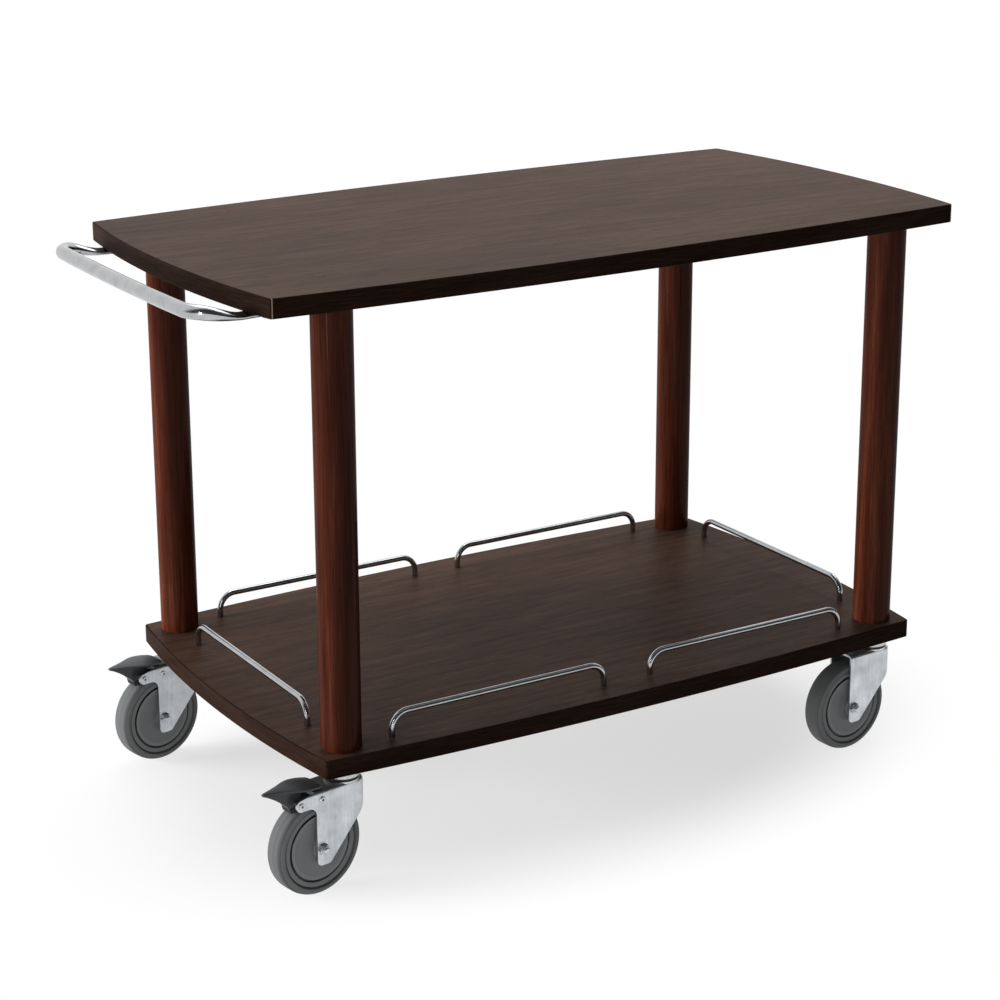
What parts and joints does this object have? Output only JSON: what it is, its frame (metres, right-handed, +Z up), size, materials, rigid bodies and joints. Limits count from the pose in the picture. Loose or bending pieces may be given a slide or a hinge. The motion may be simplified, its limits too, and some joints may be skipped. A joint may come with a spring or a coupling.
{
  "type": "food service trolley",
  "caption": "Two-tier service trolley: bowed dark wood boards on round posts, chrome push handle and gallery rails, swivel casters with braked wheels at the handle end.",
  "frame": {"origin": "on the floor, under the middle of the overall length and width", "axes": "+X along the length, the way the trolley is pushed, so the handle is at -X; +Y to the left of whoever pushes it; +Z up"},
  "size_m": [1.115, 0.573, 0.754],
  "materials": {
    "laminate": "satin dark wood-grain laminate, grain along the length",
    "edge_band": "satin, very dark brown lipping",
    "board_core": "matte, dark underside",
    "post_wood": "gloss mahogany stain",
    "chrome": "bright polished plating",
    "zinc_steel": "bright zinc plating",
    "hub_plastic": "smooth mid-grey moulding",
    "tyre_rubber": "soft grey non-marking rubber",
    "pedal_plastic": "satin dark grey moulding",
    "shoe_rubber": "matte black",
    "black_plastic": "satin black moulding"
  },
  "bodies": {
    "trolley": {"front_left_swivel_head": "zinc_steel", "front_right_swivel_head": "zinc_steel", "handle_end_plugs": "black_plastic", "handle_screws": "zinc_steel", "handle_tube": "chrome", "post_front_left": "post_wood", "post_front_right": "post_wood", "post_rear_left": "post_wood", "post_rear_right": "post_wood", "post_studs": "zinc_steel", "rail_front_end": "chrome", "rail_left_front": "chrome", "rail_left_rear": "chrome", "rail_rear_end": "chrome", "rail_right_front": "chrome", "rail_right_rear": "chrome", "rail_screws": "zinc_steel", "rear_left_swivel_head": "zinc_steel", "rear_right_swivel_head": "zinc_steel", "shelf_board": "board_core", "shelf_edge_band": "edge_band", "shelf_laminate": "laminate", "stem_inserts": "zinc_steel", "stud_inserts": "zinc_steel", "swivel_seals": "black_plastic", "top_board": "board_core", "top_edge_band": "edge_band", "top_laminate": "laminate"},
    "rear_right_swivel": {"rear_right_fork": "zinc_steel", "rear_right_axle_bolt": "zinc_steel", "rear_right_axle_nut": "zinc_steel", "rear_right_axle_sleeve": "zinc_steel", "rear_right_brake_pins": "zinc_steel"},
    "rear_right_wheel": {"rear_right_wheel_hub": "hub_plastic", "rear_right_tyre": "tyre_rubber"},
    "rear_right_brake": {"rear_right_brake_pedal": "pedal_plastic", "rear_right_brake_shoe": "shoe_rubber"},
    "rear_left_swivel": {"rear_left_fork": "zinc_steel", "rear_left_axle_bolt": "zinc_steel", "rear_left_axle_nut": "zinc_steel", "rear_left_axle_sleeve": "zinc_steel", "rear_left_brake_pins": "zinc_steel"},
    "rear_left_wheel": {"rear_left_wheel_hub": "hub_plastic", "rear_left_tyre": "tyre_rubber"},
    "rear_left_brake": {"rear_left_brake_pedal": "pedal_plastic", "rear_left_brake_shoe": "shoe_rubber"},
    "front_right_swivel": {"front_right_fork": "zinc_steel", "front_right_axle_bolt": "zinc_steel", "front_right_axle_nut": "zinc_steel", "front_right_axle_sleeve": "zinc_steel"},
    "front_right_wheel": {"front_right_wheel_hub": "hub_plastic", "front_right_tyre": "tyre_rubber"},
    "front_left_swivel": {"front_left_fork": "zinc_steel", "front_left_axle_bolt": "zinc_steel", "front_left_axle_nut": "zinc_steel", "front_left_axle_sleeve": "zinc_steel"},
    "front_left_wheel": {"front_left_wheel_hub": "hub_plastic", "front_left_tyre": "tyre_rubber"}
  },
  "joints": [
    {"name": "rear_right_swivel_turn", "type": "hinge", "parent": "trolley", "child": "rear_right_swivel", "pos_m": [-0.3835, -0.2365, 0.14], "axis": [0, 0, 1], "continuous": true},
    {"name": "rear_right_wheel_spin", "type": "hinge", "parent": "rear_right_swivel", "child": "rear_right_wheel", "pos_m": [-0.42795, -0.24354, 0.0625], "axis": [0.1564, -0.9877, 0], "continuous": true},
    {"name": "rear_right_brake_press", "type": "hinge", "parent": "rear_right_swivel", "child": "rear_right_brake", "pos_m": [-0.45856, -0.24839, 0.128], "axis": [0.1564, -0.9877, 0], "range_deg": [0, 15]},
    {"name": "rear_left_swivel_turn", "type": "hinge", "parent": "trolley", "child": "rear_left_swivel", "pos_m": [-0.3835, 0.2365, 0.14], "axis": [0, 0, 1], "continuous": true},
    {"name": "rear_left_wheel_spin", "type": "hinge", "parent": "rear_left_swivel", "child": "rear_left_wheel", "pos_m": [-0.42767, 0.22791, 0.0625], "axis": [0.1908, -0.9816, 0], "continuous": true},
    {"name": "rear_left_brake_press", "type": "hinge", "parent": "rear_left_swivel", "child": "rear_left_brake", "pos_m": [-0.4581, 0.222, 0.128], "axis": [0.1908, -0.9816, 0], "range_deg": [0, 15]},
    {"name": "front_right_swivel_turn", "type": "hinge", "parent": "trolley", "child": "front_right_swivel", "pos_m": [0.4465, -0.2365, 0.14], "axis": [0, 0, 1], "continuous": true},
    {"name": "front_right_wheel_spin", "type": "hinge", "parent": "front_right_swivel", "child": "front_right_wheel", "pos_m": [0.40161, -0.23964, 0.0625], "axis": [0.0698, -0.9976, 0], "continuous": true},
    {"name": "front_left_swivel_turn", "type": "hinge", "parent": "trolley", "child": "front_left_swivel", "pos_m": [0.4465, 0.2365, 0.14], "axis": [0, 0, 1], "continuous": true},
    {"name": "front_left_wheel_spin", "type": "hinge", "parent": "front_left_swivel", "child": "front_left_wheel", "pos_m": [0.40175, 0.2318, 0.0625], "axis": [0.1045, -0.9945, 0], "continuous": true}
  ]
}
